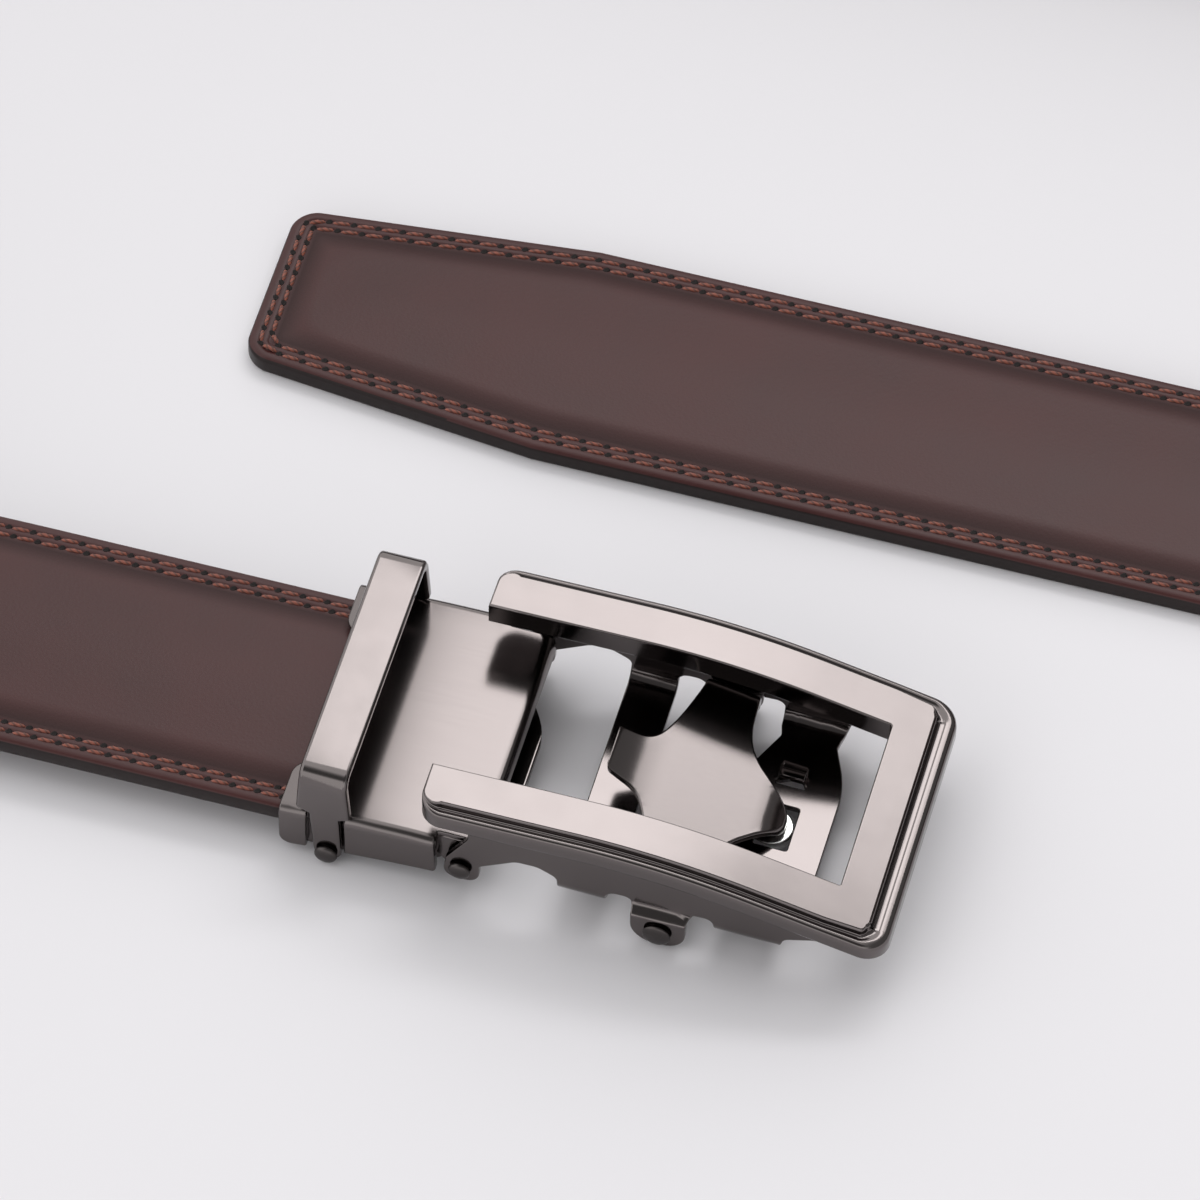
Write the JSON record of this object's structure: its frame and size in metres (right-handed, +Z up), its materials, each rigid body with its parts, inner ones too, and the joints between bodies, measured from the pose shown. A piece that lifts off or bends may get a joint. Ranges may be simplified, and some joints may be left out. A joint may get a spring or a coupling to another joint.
{
  "type": "ratchet belt",
  "caption": "Leather ratchet belt with stitched edges, a toothed track on its back, and an open-frame hinged buckle with pawl, magnet, keeper and clamp lever.",
  "frame": {"origin": "middle of the belt's footprint, on the surface that it lies on", "axes": "+X along the strap from its tip towards the closed end of the buckle, +Y from the buckle to the back of the loop, +Z up"},
  "size_m": [0.525, 0.2028, 0.0352],
  "materials": {
    "leather": "burnished full-grain, painted edges",
    "polymer": "moulded, satin",
    "gunmetal_plate": "polished gunmetal plating",
    "gunmetal_satin": "brushed gunmetal plating",
    "nickel": "bright nickel plating"
  },
  "bodies": {
    "belt": {"strap": "leather", "ratchet_track": "polymer", "base_plate": "gunmetal_satin", "keeper": "gunmetal_plate", "hinge_pin_far": "gunmetal_plate", "hinge_pin_near": "gunmetal_plate", "keeper_pin_far": "gunmetal_plate", "keeper_pin_near": "gunmetal_plate"},
    "face": {"face_frame": "gunmetal_plate", "chassis": "gunmetal_plate", "magnet": "nickel", "pawl_pin": "gunmetal_plate"},
    "pawl": {"pawl": "gunmetal_plate"},
    "clamp": {"clamp_lever": "gunmetal_satin"}
  },
  "joints": [
    {"name": "face_hinge", "type": "hinge", "parent": "belt", "child": "face", "pos_m": [0.02234, -0.0803, 0.0043], "axis": [0, 1, 0], "range_deg": [-35, 20]},
    {"name": "pawl_pivot", "type": "hinge", "parent": "face", "child": "pawl", "pos_m": [0.04934, -0.0803, 0.0026], "axis": [0, 1, 0], "range_deg": [-12, 0], "stiffness_Nm_per_rad": 0.02, "springref_deg": 5.73},
    {"name": "clamp_pivot", "type": "hinge", "parent": "belt", "child": "clamp", "pos_m": [0.00444, -0.0803, 0.00175], "axis": [0, 1, 0], "range_deg": [0, 80]}
  ]
}
